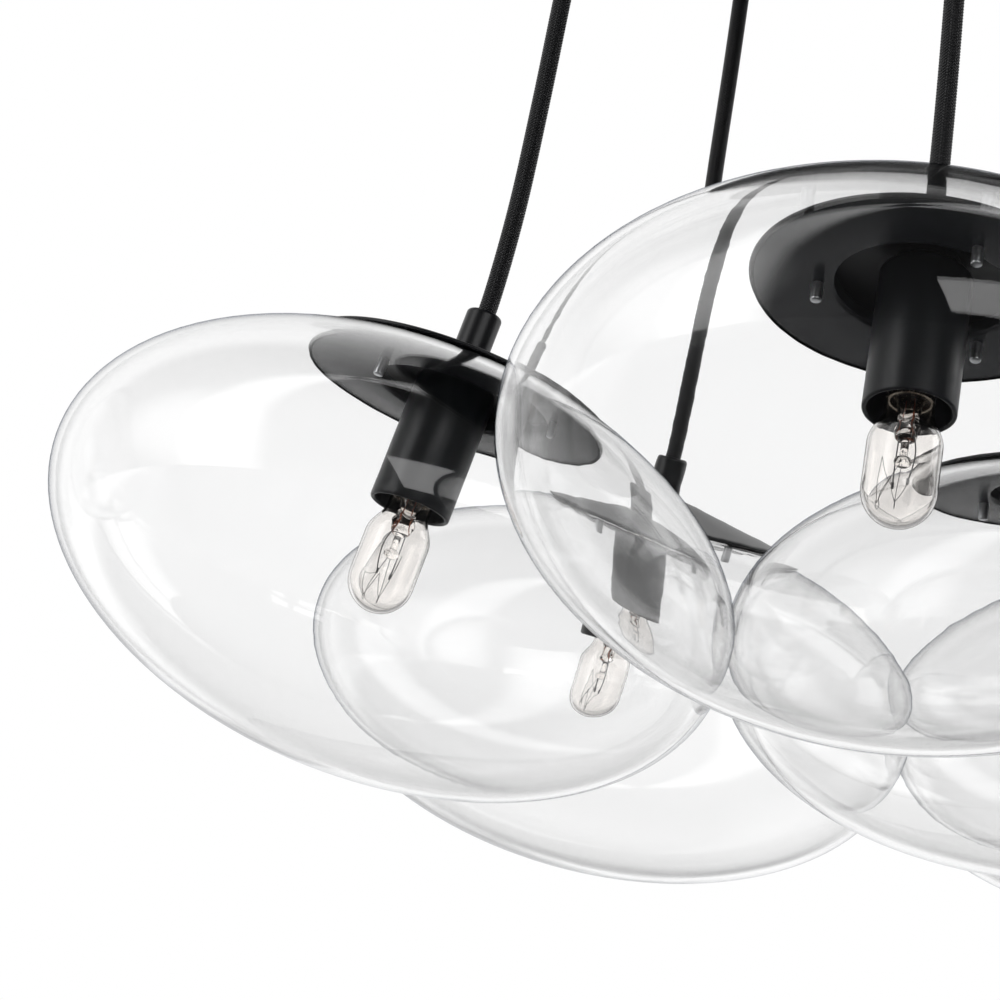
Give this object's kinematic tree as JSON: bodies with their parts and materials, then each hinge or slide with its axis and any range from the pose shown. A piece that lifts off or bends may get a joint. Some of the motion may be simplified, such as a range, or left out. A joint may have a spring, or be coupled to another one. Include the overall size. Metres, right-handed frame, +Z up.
{
  "type": "pendant chandelier",
  "caption": "Ceiling chandelier: flattened clear glass globes on black textile cords from a round canopy, in a ring that leans round a middle globe.",
  "frame": {"origin": "middle of the crossbar's top face, on the ceiling", "axes": "+Z up towards the ceiling, +X along the crossbar and out through pendant 1"},
  "size_m": [0.7108, 0.6488, 0.442],
  "materials": {
    "black_metal": "satin black powder coat",
    "cord_textile": "black braided textile",
    "clear_glass": "clear mouth-blown glass",
    "bulb_glass": "clear tubular bulb",
    "zinc_steel": "zinc plated steel",
    "white_plastic": "moulded white plastic"
  },
  "bodies": {
    "canopy": {"canopy_cover": "black_metal", "ceiling_crossbar": "zinc_steel", "terminal_block": "white_plastic", "cord_grip_1": "black_metal", "cord_grip_2": "black_metal", "cord_grip_3": "black_metal", "cord_grip_4": "black_metal", "cord_grip_5": "black_metal", "cord_grip_6": "black_metal", "cord_grip_centre": "black_metal"},
    "pendant_1": {"cord_1": "cord_textile", "collar_1": "black_metal", "lid_1": "black_metal", "retainer_1": "black_metal", "globe_1": "clear_glass", "socket_1": "black_metal"},
    "lamp_1": {"bulb_1": "bulb_glass"},
    "pendant_2": {"cord_2": "cord_textile", "collar_2": "black_metal", "lid_2": "black_metal", "retainer_2": "black_metal", "globe_2": "clear_glass", "socket_2": "black_metal"},
    "lamp_2": {"bulb_2": "bulb_glass"},
    "pendant_3": {"cord_3": "cord_textile", "collar_3": "black_metal", "lid_3": "black_metal", "retainer_3": "black_metal", "globe_3": "clear_glass", "socket_3": "black_metal"},
    "lamp_3": {"bulb_3": "bulb_glass"},
    "pendant_4": {"cord_4": "cord_textile", "collar_4": "black_metal", "lid_4": "black_metal", "retainer_4": "black_metal", "globe_4": "clear_glass", "socket_4": "black_metal"},
    "lamp_4": {"bulb_4": "bulb_glass"},
    "pendant_5": {"cord_5": "cord_textile", "collar_5": "black_metal", "lid_5": "black_metal", "retainer_5": "black_metal", "globe_5": "clear_glass", "socket_5": "black_metal"},
    "lamp_5": {"bulb_5": "bulb_glass"},
    "pendant_6": {"cord_6": "cord_textile", "collar_6": "black_metal", "lid_6": "black_metal", "retainer_6": "black_metal", "globe_6": "clear_glass", "socket_6": "black_metal"},
    "lamp_6": {"bulb_6": "bulb_glass"},
    "pendant_centre": {"cord_centre": "cord_textile", "collar_centre": "black_metal", "lid_centre": "black_metal", "retainer_centre": "black_metal", "globe_centre": "clear_glass", "socket_centre": "black_metal"},
    "lamp_centre": {"bulb_centre": "bulb_glass"}
  },
  "joints": [
    {"name": "swing_1", "type": "hinge", "parent": "canopy", "child": "pendant_1", "pos_m": [0.18, 0, -0.045], "axis": [0, -1, 0], "range_deg": [0, 20]},
    {"name": "bulb_turn_1", "type": "hinge", "parent": "pendant_1", "child": "lamp_1", "pos_m": [0.24469, 0, -0.37246], "axis": [0.2924, 0, -0.9563], "range_deg": [0, 1080]},
    {"name": "swing_2", "type": "hinge", "parent": "canopy", "child": "pendant_2", "pos_m": [0.09, 0.15588, -0.045], "axis": [0.866, -0.5, 0], "range_deg": [0, 20]},
    {"name": "bulb_turn_2", "type": "hinge", "parent": "pendant_2", "child": "lamp_2", "pos_m": [0.12234, 0.21191, -0.37246], "axis": [0.1462, 0.2532, -0.9563], "range_deg": [0, 1080]},
    {"name": "swing_3", "type": "hinge", "parent": "canopy", "child": "pendant_3", "pos_m": [-0.09, 0.15588, -0.045], "axis": [0.866, 0.5, 0], "range_deg": [0, 20]},
    {"name": "bulb_turn_3", "type": "hinge", "parent": "pendant_3", "child": "lamp_3", "pos_m": [-0.12234, 0.21191, -0.37246], "axis": [-0.1462, 0.2532, -0.9563], "range_deg": [0, 1080]},
    {"name": "swing_4", "type": "hinge", "parent": "canopy", "child": "pendant_4", "pos_m": [-0.18, 0, -0.045], "axis": [0, 1, 0], "range_deg": [0, 20]},
    {"name": "bulb_turn_4", "type": "hinge", "parent": "pendant_4", "child": "lamp_4", "pos_m": [-0.24469, 0, -0.37246], "axis": [-0.2924, 0, -0.9563], "range_deg": [0, 1080]},
    {"name": "swing_5", "type": "hinge", "parent": "canopy", "child": "pendant_5", "pos_m": [-0.09, -0.15588, -0.045], "axis": [-0.866, 0.5, 0], "range_deg": [0, 20]},
    {"name": "bulb_turn_5", "type": "hinge", "parent": "pendant_5", "child": "lamp_5", "pos_m": [-0.12234, -0.21191, -0.37246], "axis": [-0.1462, -0.2532, -0.9563], "range_deg": [0, 1080]},
    {"name": "swing_6", "type": "hinge", "parent": "canopy", "child": "pendant_6", "pos_m": [0.09, -0.15588, -0.045], "axis": [-0.866, -0.5, 0], "range_deg": [0, 20]},
    {"name": "bulb_turn_6", "type": "hinge", "parent": "pendant_6", "child": "lamp_6", "pos_m": [0.12234, -0.21191, -0.37246], "axis": [0.1462, -0.2532, -0.9563], "range_deg": [0, 1080]},
    {"name": "turn_centre", "type": "hinge", "parent": "canopy", "child": "pendant_centre", "pos_m": [0, 0, -0.045], "axis": [0, 0, 1], "range_deg": [-90, 90], "stiffness_Nm_per_rad": 0.01},
    {"name": "bulb_turn_centre", "type": "hinge", "parent": "pendant_centre", "child": "lamp_centre", "pos_m": [0, 0, -0.38826], "axis": [0, 0, -1], "range_deg": [0, 1080]}
  ]
}
